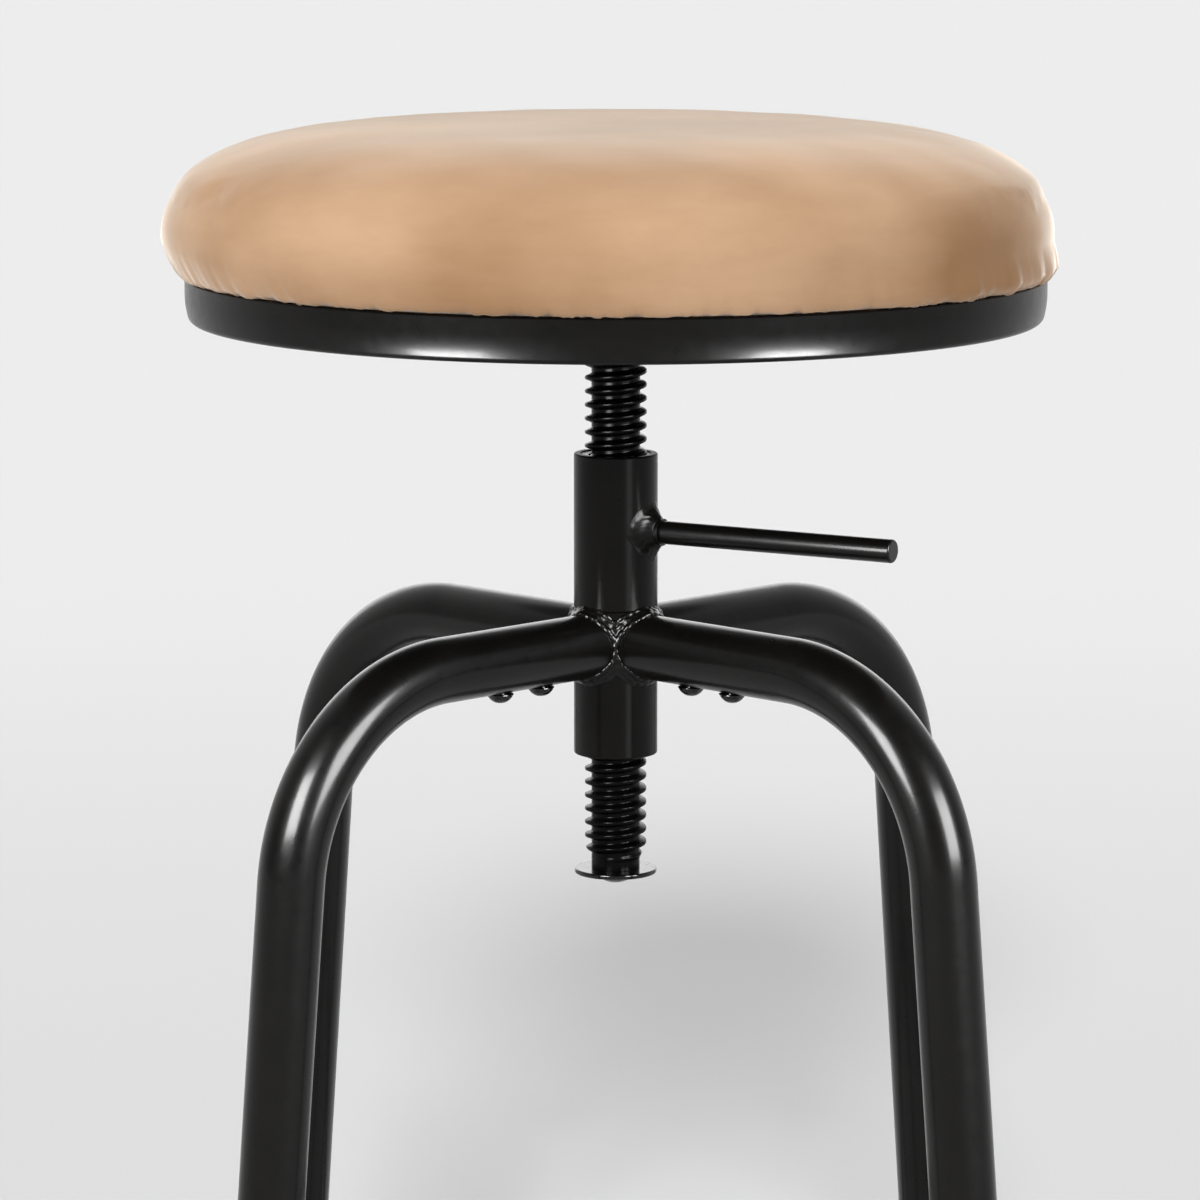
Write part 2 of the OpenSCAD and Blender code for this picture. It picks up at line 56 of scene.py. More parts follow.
# The camera stands in front of the stool, a little above the seat, and looks
# down on it, as the photograph does. The foot ring stays below its frame.
mm = 0.001
camera_away = 2.05
camera_height = 0.8157
camera_turn = -0.0056
look_left = 0.0031
look_down = math.radians(9.11)
camera_data = bpy.data.cameras.new("camera")
camera_data.sensor_width = 36
camera_data.lens = 154.24
camera_data.clip_end = 200
camera = bpy.data.objects.new("camera", camera_data)
camera.location = (camera_away * math.sin(camera_turn), -camera_away * math.cos(camera_turn), camera_height)
camera.rotation_euler = (math.pi / 2 - look_down, 0, camera_turn + look_left)
bpy.context.scene.collection.objects.link(camera)
bpy.context.scene.camera = camera
bpy.context.scene.view_settings.view_transform = "Standard"

# Short ways to add meshes, nodes and materials, which everything below uses. The
# pieces are measured in millimetres, and lengths inside a material in metres.


def add_mesh(name, points, faces, edges=()):
    """A new mesh object in the scene, from points in millimetres, with its place in its mesh."""
    mesh = bpy.data.meshes.new(name)
    mesh.from_pydata([tuple(mm * x for x in point) for point in points], edges, faces)
    mesh.update()
    piece = bpy.data.objects.new(name, mesh)
    bpy.context.scene.collection.objects.link(piece)
    return piece


def fill(tree, node, inputs):
    """Links or sets a node's inputs, given by name or number."""
    for socket, value in inputs.items():
        if isinstance(value, bpy.types.NodeSocket):
            tree.links.new(value, node.inputs[socket])
        else:
            node.inputs[socket].default_value = value


def add_node(tree, kind, inputs, output=0, **settings):
    """A new node with its settings and inputs, of which it gives back one output."""
    node = tree.nodes.new(kind)
    for name, value in settings.items():
        setattr(node, name, value)
    fill(tree, node, inputs)
    return node.outputs[output]


def new_material(name):
    """A material with its node tree, its shader and the coordinates of the piece."""
    material = bpy.data.materials.new(name)
    material.use_nodes = True
    tree = material.node_tree
    return material, tree, tree.nodes["Principled BSDF"], add_node(tree, "ShaderNodeTexCoord", {}, "Object")


def combine(tree, operation, first, second):
    """Two values joined by the operation."""
    return add_node(tree, "ShaderNodeMath", {0: first, 1: second}, operation=operation)


def mix_shaders(tree, factor, first, second):
    """The first shader where factor is 0 and the second where it is 1."""
    return add_node(tree, "ShaderNodeMixShader", {"Fac": factor, 1: first, 2: second})


def map_range(tree, value, start, end, low=0.0, high=1.0, way="LINEAR"):
    """The value, with start to end spread over low to high."""
    inputs = {"Value": value, "From Min": start, "From Max": end, "To Min": low, "To Max": high}
    return add_node(tree, "ShaderNodeMapRange", inputs, "Result", interpolation_type=way)


def blend_colours(tree, factor, low, high, start=0.35, end=0.65):
    """A ramp from one colour to another as factor goes from start to end."""
    ramp = tree.nodes.new("ShaderNodeValToRGB")
    ramp.color_ramp.elements[0].position = start
    ramp.color_ramp.elements[0].color = (*low, 1)
    ramp.color_ramp.elements[1].position = end
    ramp.color_ramp.elements[1].color = (*high, 1)
    tree.links.new(factor, ramp.inputs["Fac"])
    return ramp.outputs["Color"]


def add_noise(tree, place, scale, detail=3, roughness=0.5):
    """Noise with its scale in features per metre."""
    inputs = {"Vector": place, "Scale": scale, "Detail": detail, "Roughness": roughness}
    return add_node(tree, "ShaderNodeTexNoise", inputs, "Fac")


def mottle(tree, place, scale, low, high, detail=3):
    """A value that wanders between low and high, as an uneven gloss does."""
    return map_range(tree, add_noise(tree, place, scale, detail), 0.3, 0.7, low, high)


def add_bump(tree, height, distance, strength, under=None):
    """Bump of a height field, laid over another bump if there is one."""
    inputs = {"Height": height, "Distance": distance, "Strength": strength}
    if under is not None:
        inputs["Normal"] = under
    return add_node(tree, "ShaderNodeBump", inputs, "Normal")


def plain_finish(name, cloud, low, high, grain, smooth, rough, metallic=0.0, detail=3):
    """A material with clouds of two colours and an uneven gloss."""
    material, tree, shader, place = new_material(name)
    fill(tree, shader, {
        "Base Color": blend_colours(tree, add_noise(tree, place, cloud, detail), low, high),
        "Roughness": mottle(tree, place, grain, smooth, rough, detail),
        "Metallic": metallic,
    })
    return material


# A wide pale studio floor with nothing on it. It takes the stool's shadow, and
# part of its paleness is its own glow, so that the lamps needn't be strong. That
# glow holds painted shade near the stool, darkest there and fading out further away.
floor_size = 60000
floor_matt = (0.525, 0.525, 0.525, 1)
# Painted shade: the floor's own glow is darker near the stool, out to the reach below, and pale further
# away.
floor_painted_shade = (0.38, 0.38, 0.39)
floor_far = (0.90, 0.90, 0.90)
painted_shade_reach = 0.9
far_edge = 3.4
own_share = 0.2
floor = add_mesh("studio_floor", [(-floor_size, -floor_size, 0), (floor_size, -floor_size, 0),
    (floor_size, floor_size, 0), (-floor_size, floor_size, 0)], [(0, 1, 2, 3)])
floor_material, tree, shader, place = new_material("studio_floor")
tree.nodes.remove(shader)
from_middle = add_node(tree, "ShaderNodeVectorMath", {0: place}, "Value", operation="LENGTH")
clear_of_painted_shade = map_range(tree, from_middle, painted_shade_reach, far_edge, way="SMOOTHSTEP")
glow_colour = blend_colours(tree, clear_of_painted_shade, floor_painted_shade, floor_far, 0, 1)
glow = add_node(tree, "ShaderNodeEmission", {"Color": glow_colour})
matt = add_node(tree, "ShaderNodeBsdfDiffuse", {"Color": floor_matt})
rays = tree.nodes.new("ShaderNodeLightPath").outputs
seen = combine(tree, "MAXIMUM", rays["Is Camera Ray"], rays["Is Glossy Ray"])
surface = mix_shaders(tree, combine(tree, "MULTIPLY", seen, own_share), matt, glow)
tree.links.new(surface, tree.nodes["Material Output"].inputs["Surface"])
floor.data.materials.append(floor_material)
floor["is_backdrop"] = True

# The room is a plain backdrop to the camera and gives a little even light. What
# mirrors it finds it pale behind the stool and dark on the camera's side.
backdrop = (0.81, 0.81, 0.81)
room_dark = (0.16, 0.16, 0.165)
air_strength = 0.32
world = bpy.data.worlds.new("studio")
bpy.context.scene.world = world
world.use_nodes = True
tree = world.node_tree
tree.nodes.clear()
direction = add_node(tree, "ShaderNodeTexCoord", {}, "Generated")
backwards = map_range(tree, add_node(tree, "ShaderNodeSeparateXYZ", {0: direction}, "Y"), -0.15, 0.45)
room_colour = blend_colours(tree, backwards, room_dark, backdrop, 0, 1)
room = add_node(tree, "ShaderNodeBackground", {"Color": room_colour})
pale = add_node(tree, "ShaderNodeBackground", {"Color": (*backdrop, 1)})
air = add_node(tree, "ShaderNodeBackground", {"Color": (1, 1, 1, 1), "Strength": air_strength})
rays = tree.nodes.new("ShaderNodeLightPath").outputs
mirrored = combine(tree, "MAXIMUM", rays["Is Glossy Ray"], rays["Is Transmission Ray"])
surface = mix_shaders(tree, rays["Is Camera Ray"], mix_shaders(tree, mirrored, air, room), pale)
tree.links.new(surface, tree.nodes.new("ShaderNodeOutputWorld").inputs["Surface"])

# Soft distant lamps give the plain light. One more deepens the stool's shadow on
# the floor alone. Softboxes beside and behind draw the tubes' long highlights.
stool_middle = Vector((0, 0, 0.5))


def add_lamp(name, kind, turn, rise, energy, away=0.0):
    """A lamp that faces the stool, turned from the camera's side towards the right and raised."""
    lamp = bpy.data.objects.new(name, bpy.data.lights.new(name, kind))
    lamp.data.energy = energy
    turn, rise = math.radians(turn), math.radians(rise)
    towards = Vector((math.sin(turn) * math.cos(rise), -math.cos(turn) * math.cos(rise), math.sin(rise)))
    lamp.location = stool_middle + towards * away
    lamp.rotation_euler = towards.to_track_quat("Z", "Y").to_euler()
    bpy.context.scene.collection.objects.link(lamp)
    return lamp


def add_softbox(name, turn, rise, away, width, height, energy):
    """A softbox that only draws highlights."""
    lamp = add_lamp(name, "AREA", turn, rise, energy, away)
    lamp.data.shape = "RECTANGLE"
    lamp.data.size = width
    lamp.data.size_y = height
    lamp.visible_camera = False
    lamp.visible_diffuse = False
    return lamp


def add_soft_sun(name, turn, rise, spread, energy):
    """A wide distant lamp that lights evenly and draws no highlight."""
    lamp = add_lamp(name, "SUN", turn, rise, energy)
    lamp.data.angle = math.radians(spread)
    lamp.visible_glossy = False
    return lamp


def light_only(lamp, *pieces):
    """Keeps a lamp's light to the given pieces."""
    lit = bpy.data.collections.new(lamp.name + "_lights")
    for piece in pieces:
        lit.objects.link(piece)
    lamp.light_linking.receiver_collection = lit


add_soft_sun("sun_front", -3, 23, 8, 1.5)
add_soft_sun("sun_left", -62, 34, 24, 0.95)
add_soft_sun("sun_above", 20, 82, 40, 0.85)
add_soft_sun("sun_back", 178, 23, 40, 1.55)
light_only(add_soft_sun("sun_on_floor", -3, 22.5, 8, 3.7), floor)
no_softbox = bpy.data.collections.new("no_softbox")
for lamp in (add_softbox("softbox_left", -32, 11, 0.42, 0.165, 0.17, 4.8),
        add_softbox("softbox_right", 46, 16, 1.2, 0.68, 0.56, 50),
        add_softbox("softbox_back", 180, 12, 1.1, 1.6, 0.5, 3)):
    lamp.light_linking.receiver_collection = no_softbox


def hide_from_softboxes(piece):
    """Keeps the softboxes' highlights off a piece."""
    no_softbox.objects.link(piece)
    for linked in no_softbox.collection_objects:
        linked.light_linking.link_state = "EXCLUDE"


# Satin black powder coat on the tubes, the hub and the pan: a warm black with
# the fine waviness that the powder leaves and slightly uneven gloss.


def powder_coat(name, specular, coat):
    """Baked black powder, with how much its body and its clear skin mirror."""
    material, tree, shader, place = new_material(name)
    cloud = add_noise(tree, place, 38)
    wave = add_bump(tree, add_noise(tree, place, 520, 2), 0.00003, 0.4)
    fill(tree, shader, {
        "Base Color": blend_colours(tree, cloud, (0.0042, 0.0037, 0.0034), (0.0062, 0.0055, 0.0050)),
        "Roughness": mottle(tree, place, 210, 0.27, 0.33),
        "Specular IOR Level": specular,
        "Coat Weight": coat,
        "Coat Roughness": 0.16,
        "Coat IOR": 1.3,
        "Normal": add_bump(tree, add_noise(tree, place, 2600, 1), 0.000012, 0.4, wave),
    })
    return material


paint = powder_coat("black_paint", 0.10, 0.45)
thin_paint = powder_coat("black_paint_thin", 0.07, 0.2)


def finish_node(node, material):
    """Gives a CAD node that stays its material."""
    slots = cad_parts[node].data.materials
    slots.clear()
    slots.append(material)


def own_piece(piece, body, slot, material, *nodes):
    """Rides a finished piece on its body and lets it stand for the CAD nodes that it replaces."""
    piece.data.materials.clear()
    piece.data.materials.append(material)
    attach(piece, body)
    if nodes:
        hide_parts(*nodes)


def round_shading(piece, sharp=35):
    """Smooth shading with creases kept where faces meet at more than the given angle."""
    piece.data.shade_smooth()
    piece.data.set_sharp_from_angle(angle=math.radians(sharp))


# The two tubes of the hub, butted at a joint that shows as a fine line. Both are
# steel pipe with turned ends, and the upper one is drilled across for the lever.
hub_r = 16.9
hub_bore = 14.3
hub_foot = 424.5
hub_joint = 484.6
hub_top = 547.0
end_round = 0.7
joint_round = 0.45
shortest_flat = 1.5
flat_margin = 0.15


def hold_flats(outline):
    """The outline with a point close to each end of every long straight, which keeps its shading flat."""
    held = []
    for here, after in zip(outline, outline[1:] + outline[:1]):
        held.append(here)
        length = math.dist(here, after)
        if length > shortest_flat and here[0] + after[0] > 0:
            for share in (flat_margin / length, 1 - flat_margin / length):
                held.append(tuple(a + (b - a) * share for a, b in zip(here, after)))
    return held


def add_ring(points, radius, height, steps):
    """Adds a ring of points about the z axis, or one point on it, and gives back their numbers."""
    if radius == 0:
        points.append((0, 0, height))
        return [len(points) - 1] * steps
    for k in range(steps):
        angle = 2 * math.pi * k / steps
        points.append((radius * math.cos(angle), radius * math.sin(angle), height))
    return range(len(points) - steps, len(points))


def join_rings(rings):
    """Faces from each ring of points to the next."""
    faces = []
    for ring, after in zip(rings, rings[1:]):
        for k in range(len(ring)):
            j = (k + 1) % len(ring)
            face = list(dict.fromkeys([ring[k], ring[j], after[j], after[k]]))
            if len(face) > 2:
                faces.append(face)
    return faces


def turn_outline(name, outline, steps=192):
    """A closed piece turned about the z axis; its outline runs up the outside in (radius, height)."""
    points = []
    rings = [add_ring(points, radius, height, steps) for radius, height in hold_flats(outline)]
    piece = add_mesh(name, points, join_rings(rings + rings[:1]))
    round_shading(piece)
    return piece


def round_corner(radius, height, size, start, end, count=5):
    """Points of a rounded corner about (radius, height), from the start angle to the end in degrees."""
    angles = [math.radians(start + (end - start) * k / count) for k in range(count + 1)]
    return [(radius + size * math.cos(a), height + size * math.sin(a)) for a in angles]


def pipe_outline(bore, outside, foot, top, foot_round, top_round):
    """Outline of a length of pipe with rounded outer edges."""
    return ([(bore, foot)] + round_corner(outside - foot_round, foot + foot_round, foot_round, -90, 0)
        + round_corner(outside - top_round, top - top_round, top_round, 0, 90) + [(bore, top)])


def settle(piece):
    """Keeps what a piece's modifiers make as its plain mesh, and removes them."""
    drawn = piece.evaluated_get(bpy.context.evaluated_depsgraph_get())
    mesh = bpy.data.meshes.new_from_object(drawn)
    piece.modifiers.clear()
    piece.data = mesh


lever_z = 516.2
lever_turned = math.radians(-30)
lever_thread_r = 4.0
lever_fit = 0.1
bore_start = 5.0
bore_end = 25.0
to_lever = (Matrix.Translation((0, 0, lever_z * mm)) @ Matrix.Rotation(lever_turned, 4, "Z")
    @ Matrix.Rotation(math.pi / 2, 4, "Y"))
cross_r = lever_thread_r + lever_fit
cross_bore = turn_outline("cross_bore", [(0, bore_start), (cross_r, bore_start), (cross_r, bore_end),
    (0, bore_end)], 64)
cross_bore.data.transform(to_lever)
upper_hub = turn_outline("hub_upper_tube",
    pipe_outline(hub_bore, hub_r, hub_joint, hub_top, joint_round, end_round))
drill = upper_hub.modifiers.new("drill", "BOOLEAN")
drill.operation = "DIFFERENCE"
drill.solver = "EXACT"
drill.object = cross_bore
settle(upper_hub)
bpy.data.objects.remove(cross_bore)
round_shading(upper_hub)
own_piece(upper_hub, "frame", "black_paint", thin_paint, "upper_hub")
lower_hub = turn_outline("hub_lower_tube",
    pipe_outline(hub_bore, hub_r, hub_foot, hub_joint, end_round, joint_round))
own_piece(lower_hub, "frame", "black_paint", thin_paint, "lower_hub")
hide_from_softboxes(upper_hub)
hide_from_softboxes(lower_hub)
light_only(add_softbox("strip_right", 37, -9, 1.2, 0.3, 0.6, 1.6), upper_hub, lower_hub)

# Four legs of round steel tube. Each runs straight out of the hub, turns down
# in one wide bend and leans a little outwards to its foot.
leg_r = 13.0
leg_wall = 2.0
leg_axis = 470.0
leg_straight = 96.0
bend_r = 81.0
splay = math.radians(5.4)
sole = 6.0
leg_begin = 8.0
bend_steps = 40
corners = {"front_right": -45, "back_right": 45, "back_left": 135, "front_left": 225}


def open_tree(name, sockets):
    """A node tree for geometry with the named inputs, and the sockets that they come in by."""
    tree = bpy.data.node_groups.new(name, "GeometryNodeTree")
    for label, kind in sockets.items():
        tree.interface.new_socket(label, in_out="INPUT", socket_type="NodeSocket" + kind)
    tree.interface.new_socket("Result", in_out="OUTPUT", socket_type="NodeSocketGeometry")
    return tree, tree.nodes.new("NodeGroupInput").outputs


def close_tree(tree, geometry, finish):
    """Ends a node tree: its geometry is made real and gets its finish."""
    real = add_node(tree, "GeometryNodeRealizeInstances", {"Geometry": geometry})
    finished = add_node(tree, "GeometryNodeSetMaterial", {"Geometry": real, "Material": finish})
    tree.links.new(finished, tree.nodes.new("NodeGroupOutput").inputs["Result"])
    return tree


def tube_tree():
    """Geometry nodes that sweep a circle along a line of edges."""
    tree, given = open_tree("bent_tube",
        {"Path": "Geometry", "Radius": "Float", "Sides": "Int", "Finish": "Material"})
    line = add_node(tree, "GeometryNodeMeshToCurve", {"Mesh": given["Path"]})
    circle = add_node(tree, "GeometryNodeCurvePrimitiveCircle",
        {"Radius": given["Radius"], "Resolution": given["Sides"]})
    tube = add_node(tree, "GeometryNodeCurveToMesh", {"Curve": line, "Profile Curve": circle})
    return close_tree(tree, tube, given["Finish"])


def run_tree(piece, tree, values):
    """Runs a node tree on a piece with its inputs set by name, and keeps the result as a plain mesh."""
    modifier = piece.modifiers.new(tree.name, "NODES")
    modifier.node_group = tree
    for socket in tree.interface.items_tree:
        if socket.name in values:
            modifier[socket.identifier] = values[socket.name]
    settle(piece)


def face_outwards(piece):
    """Merges doubles and turns every face of a closed shell or open tube outwards."""
    shell = bmesh.new()
    shell.from_mesh(piece.data)
    bmesh.ops.remove_doubles(shell, verts=shell.verts, dist=0.00001)
    bmesh.ops.recalc_face_normals(shell, faces=shell.faces)
    shell.to_mesh(piece.data)
    shell.free()


def cut_level(piece, *cuts):
    """Cuts a piece level and closes it, by (height, side): side is 1 to lose what is above and -1 below."""
    shell = bmesh.new()
    shell.from_mesh(piece.data)
    for height, side in cuts:
        everything = shell.verts[:] + shell.edges[:] + shell.faces[:]
        cut = bmesh.ops.bisect_plane(shell, geom=everything, plane_co=(0, 0, height * mm),
            plane_no=(0, 0, side), clear_outer=True)["geom_cut"]
        rim = [item for item in cut if isinstance(item, bmesh.types.BMEdge)]
        bmesh.ops.edgeloop_fill(shell, edges=rim)
    bmesh.ops.recalc_face_normals(shell, faces=shell.faces)
    shell.to_mesh(piece.data)
    shell.free()


def leg_path():
    """Points along a leg's axis in the plane of the leg, as (distance out, height)."""
    bend_end = math.pi / 2 - splay
    path = [(leg_begin, leg_axis), (leg_straight / 2, leg_axis)]
    for k in range(bend_steps + 1):
        turned = bend_end * k / bend_steps
        path.append((leg_straight + bend_r * math.sin(turned), leg_axis - bend_r * (1 - math.cos(turned))))
    out, height = path[-1]
    path.append((out + (height - sole) * math.tan(splay), sole))
    return path


def add_wall(piece, thickness):
    """Gives an open shell its wall on the inside."""
    wall = piece.modifiers.new("wall", "SOLIDIFY")
    wall.thickness = thickness * mm
    wall.offset = -1
    settle(piece)


bent_tube = tube_tree()
saddle_gap = 0.3
for corner, turned in corners.items():
    route = leg_path()
    leg = add_mesh("leg_tube_" + corner, [(out, 0, height) for out, height in route], [],
        [(k, k + 1) for k in range(len(route) - 1)])
    run_tree(leg, bent_tube, {"Radius": leg_r * mm, "Sides": 96, "Finish": paint})
    face_outwards(leg)
    for vertex in leg.data.vertices:
        if vertex.co.x < (leg_begin + 1) * mm:
            side = abs(vertex.co.y) / mm
            vertex.co.x = (max(math.sqrt(hub_r ** 2 - side ** 2), side) + saddle_gap) * mm
    add_wall(leg, leg_wall)
    leg.data.transform(Matrix.Rotation(math.radians(turned), 4, "Z"))
    round_shading(leg, 50)
    own_piece(leg, "frame", "black_paint", paint, "leg_" + corner)
    finish_node("leg_stub_" + corner, paint)

# Welds where the legs meet the hub and each other. Each toe of the weld has a
# rippled bead, and the metal between them is filled and smooth.
ripple = 3.4
bead_step = 0.8
toe_lines = ((15.3, -0.45, 1.25, 0.14), (13.1, 2.7, 1.2, 0.14), (14.1, 0.9, 1.2, 0.12),
    (13.5, 0.3, 1.3, 0.0))
corner_out = 16.6
corner_size = 2.1
corner_reach = 9


def bead_tree():
    """Geometry nodes that set a ball of its own size on each point."""
    tree, given = open_tree("weld_bead", {"Spots": "Geometry", "Finish": "Material"})
    spots = add_node(tree, "GeometryNodeMeshToPoints", {"Mesh": given["Spots"]})
    ball = add_node(tree, "GeometryNodeMeshIcoSphere", {"Radius": 1.0, "Subdivisions": 3})
    size = add_node(tree, "GeometryNodeInputNamedAttribute", {"Name": "size"}, "Attribute",
        data_type="FLOAT")
    balls = add_node(tree, "GeometryNodeInstanceOnPoints",
        {"Points": spots, "Instance": ball, "Scale": size})
    return close_tree(tree, balls, given["Finish"])


def saddle_line(distance, along, size, ripples):
    """Balls along the curve where a tube of radius distance meets the hub, moved out along the leg."""
    balls = []
    count = int(2 * math.pi * distance / bead_step)
    for k in range(count):
        angle = 2 * math.pi * k / count
        y, z = distance * math.cos(angle), distance * math.sin(angle)
        if abs(y) >= hub_r:
            continue
        x = math.sqrt(hub_r ** 2 - y ** 2) + along
        if x < abs(y) - 0.8:
            continue
        swell = 1 + ripples * math.sin(2 * math.pi * k * bead_step / ripple)
        wander = 0.25 * math.sin(5 * angle + distance) + 0.2 * math.sin(11 * angle + 2)
        balls.append((Vector((x + wander * 0.5, y, z + wander)), size * swell))
    return balls


bead_balls = []
for turned in corners.values():
    at_leg = Matrix.Rotation(math.radians(turned), 3, "Z")
    for line in toe_lines:
        bead_balls += [(at_leg @ spot, size) for spot, size in saddle_line(*line)]
    between = Matrix.Rotation(math.radians(turned + 45), 3, "Z")
    for k in range(-corner_reach, corner_reach + 1):
        spot = Vector((corner_out, 0.4 * math.sin(k), k * bead_step))
        bead_balls.append((between @ spot, corner_size + 0.15 * math.sin(2 * k)))
weld = add_mesh("hub_leg_welds", [spot + Vector((0, 0, leg_axis)) for spot, size in bead_balls], [])
sizes = weld.data.attributes.new("size", "FLOAT", "POINT")
for k, (spot, size) in enumerate(bead_balls):
    sizes.data[k].value = size * mm
run_tree(weld, bead_tree(), {"Finish": paint})
melt = weld.modifiers.new("melt", "REMESH")
melt.mode = "VOXEL"
melt.voxel_size = 0.42 * mm
flow = weld.modifiers.new("flow", "SMOOTH")
flow.factor = 0.5
flow.iterations = 2
settle(weld)
weld.data.shade_smooth()
own_piece(weld, "frame", "black_paint", paint, "stub_welds")

# Black oxide steel, faintly rubbed: dull with oil on the spindle and its nut, and
# polished on the washer and the screws.


def black_oxide(name, specular, polish):
    """Blackened steel, with how much its body and its polish mirror."""
    material, tree, shader, place = new_material(name)
    rubbed = add_noise(tree, place, 120)
    fill(tree, shader, {
        "Base Color": blend_colours(tree, rubbed, (0.0015, 0.0015, 0.0015), (0.0035, 0.0032, 0.003)),
        "Roughness": mottle(tree, place, 420, 0.18, 0.30, 4),
        "Specular IOR Level": specular,
        "Coat Weight": polish,
        "Coat Roughness": 0.07,
        "Normal": add_bump(tree, add_noise(tree, place, 900), 0.00004, 0.5),
    })
    return material


steel = black_oxide("black_steel", 0.06, 0.0)
bright_steel = black_oxide("black_steel_bright", 0.12, 0.5)
finish_node("drive_nut", steel)

# Button-head screws with hexagon sockets: two under the root of each leg, one
# through each leg into the foot ring, and four through the seat's plate.
head_r = 5.4
head_h = 4.0
shank_r = 3.0
socket_r = 4 / 2 / math.cos(math.radians(30))
socket_depth = 2.4
screw_in = 42.5
screw_step = 22.5
screw_length = 8.2


def screw_mesh(name, shank, length, dome, height, socket, depth, steps=48):
    """A screw with its head's face on z = 0, its dome with the hexagon socket below and its shank above."""
    ball = (dome ** 2 + height ** 2) / (2 * height)
    first = math.asin(socket / ball)
    last = math.asin(dome / ball)
    outline = []
    for k in range(1, 8):
        angle = first + (last - first) * k / 8
        outline.append((ball * math.sin(angle), ball - height - ball * math.cos(angle)))
    outline += [(dome, -0.35), (dome - 0.1, -0.08), (dome - 0.35, 0), (shank, 0), (shank, length - 0.5),
        (shank - 0.5, length), (0, length)]
    points, rings = [], []
    socket_floor = depth - height
    for on_dome in (False, True):
        rings.append(range(len(points), len(points) + steps))
        for k in range(steps):
            angle = 2 * math.pi * k / steps
            within = (angle % (math.pi / 3)) - math.pi / 6
            reach = socket * math.cos(math.pi / 6) / math.cos(within)
            dome_z = ball - height - math.sqrt(ball ** 2 - reach ** 2)
            z = dome_z if on_dome else socket_floor
            points.append((reach * math.cos(angle), reach * math.sin(angle), z))
    rings += [add_ring(points, radius, z, steps) for radius, z in outline]
    rings.insert(0, add_ring(points, 0, socket_floor + 0.6, steps))
    piece = add_mesh(name, points, join_rings(rings))
    face_outwards(piece)
    round_shading(piece, 40)
    return piece


def row_tree():
    """Geometry nodes that set a fastener on each point, with its z axis along the point's own axis."""
    tree, given = open_tree("fastener_row",
        {"Places": "Geometry", "Fastener": "Object", "Finish": "Material"})
    spots = add_node(tree, "GeometryNodeMeshToPoints", {"Mesh": given["Places"]})
    one = add_node(tree, "GeometryNodeObjectInfo", {"Object": given["Fastener"]}, "Geometry")
    axis = add_node(tree, "GeometryNodeInputNamedAttribute", {"Name": "axis"}, "Attribute",
        data_type="FLOAT_VECTOR")
    aim = add_node(tree, "FunctionNodeAlignRotationToVector", {"Vector": axis}, axis="Z")
    copies = add_node(tree, "GeometryNodeInstanceOnPoints",
        {"Points": spots, "Instance": one, "Rotation": aim})
    return close_tree(tree, copies, given["Finish"])


fastener_row = row_tree()


def add_row(name, fastener, places, material):
    """One piece made of a copy of the fastener at each place, given as (spot, axis)."""
    piece = add_mesh(name, [spot for spot, axis in places], [])
    axes = piece.data.attributes.new("axis", "FLOAT_VECTOR", "POINT")
    for k, (spot, axis) in enumerate(places):
        axes.data[k].vector = axis
    run_tree(piece, fastener_row, {"Fastener": fastener, "Finish": material})
    bpy.data.objects.remove(fastener)
    return piece


leg_screw = screw_mesh("leg_screw", shank_r, screw_length, head_r, head_h, socket_r, socket_depth)
places = []
for turned in corners.values():
    along = Matrix.Rotation(math.radians(turned), 3, "Z") @ Vector((1, 0, 0))
    for out in (screw_in, screw_in + screw_step):
        places.append((along * out + Vector((0, 0, leg_axis - leg_r - 0.02)), (0, 0, 1)))
leg_screws = add_row("leg_button_screws", leg_screw, places, bright_steel)
own_piece(leg_screws, "frame", "black_steel", bright_steel, "leg_screws")

# Moulded rubber ferrules pushed on the ends of the legs, with a bead round
# their mouths, cut flat where they stand on the floor.
rubber, tree, shader, place = new_material("black_rubber")
fill(tree, shader, {
    "Base Color": (0.012, 0.012, 0.012, 1),
    "Roughness": mottle(tree, place, 300, 0.55, 0.75),
    "Normal": add_bump(tree, add_noise(tree, place, 1500, 2), 0.00005, 0.5),
})
foot_r = leg_r + 2.6
foot_h = 26.0
foot_bore = leg_r + 0.1
bend_end_out = leg_straight + bend_r * math.cos(splay)
bend_end_h = leg_axis - bend_r + bend_r * math.sin(splay)
foot_out = bend_end_out + bend_end_h * math.tan(splay)
for corner, turned in corners.items():
    ferrule = turn_outline("foot_ferrule_" + corner, [(0, -sole), (foot_r - 0.2, -sole), (foot_r, 3)]
        + [(foot_r - 0.3, 6), (foot_r - 0.3, foot_h - 5)]
        + round_corner(foot_r - 0.6, foot_h - 2.2, 1.6, -60, 90)
        + [(foot_bore, foot_h - 0.8), (foot_bore, sole + 0.3), (0, sole + 0.3)], 96)
    ferrule.data.transform(Matrix.Translation((foot_out * mm, 0, 0)) @ Matrix.Rotation(-splay, 4, "Y"))
    cut_level(ferrule, (0, -1))
    ferrule.data.transform(Matrix.Rotation(math.radians(turned), 4, "Z"))
    round_shading(ferrule, 40)
    own_piece(ferrule, "frame", "black_rubber", rubber, "foot_" + corner)

